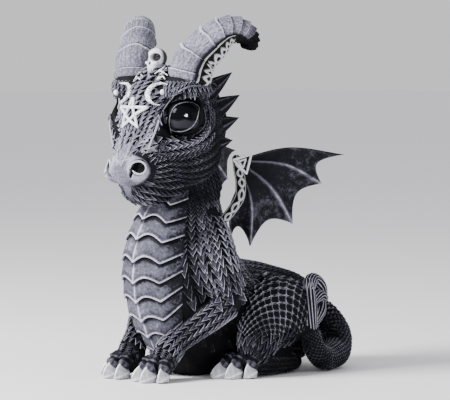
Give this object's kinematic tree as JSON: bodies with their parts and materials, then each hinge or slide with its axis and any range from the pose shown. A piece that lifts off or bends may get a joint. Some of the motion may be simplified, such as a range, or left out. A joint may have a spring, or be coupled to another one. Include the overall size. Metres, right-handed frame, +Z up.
{
  "type": "dragon statue",
  "caption": "Small seated young dragon with ringed horns, folded forelegs, small spread wings and a curled tail, cast in one piece to stand on a table.",
  "frame": {"origin": "on the floor, at the middle of the statue's outline", "axes": "+Z up, the dragon looks along -Y, its left side is +X"},
  "size_m": [0.0536, 0.0826, 0.11],
  "materials": {
    "resin": "cast stone resin, near black in the hollows and brushed with silver grey on the raised carving",
    "silver_paint": "soft silver paint on claws, horn bands and brow ornaments",
    "eye_gloss": "glossy black lacquer"
  },
  "bodies": {
    "root": {"dragon": "resin"}
  },
  "joints": []
}
